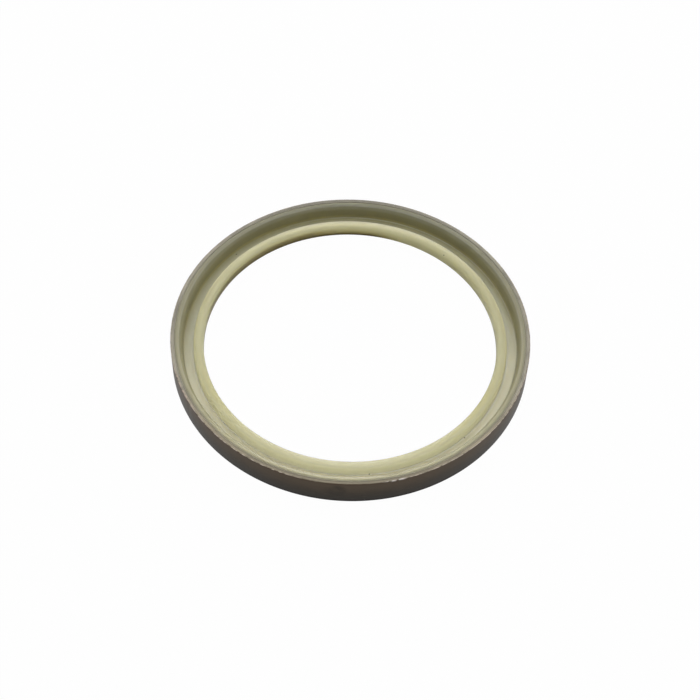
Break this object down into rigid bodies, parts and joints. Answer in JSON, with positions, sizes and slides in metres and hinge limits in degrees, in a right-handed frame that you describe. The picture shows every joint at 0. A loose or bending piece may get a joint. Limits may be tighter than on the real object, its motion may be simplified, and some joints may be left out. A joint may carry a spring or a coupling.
{
  "type": "rod wiper seal",
  "caption": "Metal-cased rod wiper: a drawn steel ring holds a cream polyurethane moulding whose rounded inner lip scrapes dirt off a hydraulic cylinder's rod.",
  "frame": {"origin": "centre of the ring, on the plane of the flange's underside, which it rests on", "axes": "+Z along the ring's axis, out of the side that the wiping lip faces; X and Y are free because the ring is round"},
  "size_m": [0.092, 0.092, 0.0079],
  "materials": {
    "case_steel": "drawn mild steel with a dull turned rim, a light oil film and traces of rust on the edges",
    "polyurethane": "satin, slightly translucent cream polyurethane"
  },
  "bodies": {
    "root": {"steel_case": "case_steel", "polyurethane_wiper": "polyurethane"}
  },
  "joints": []
}
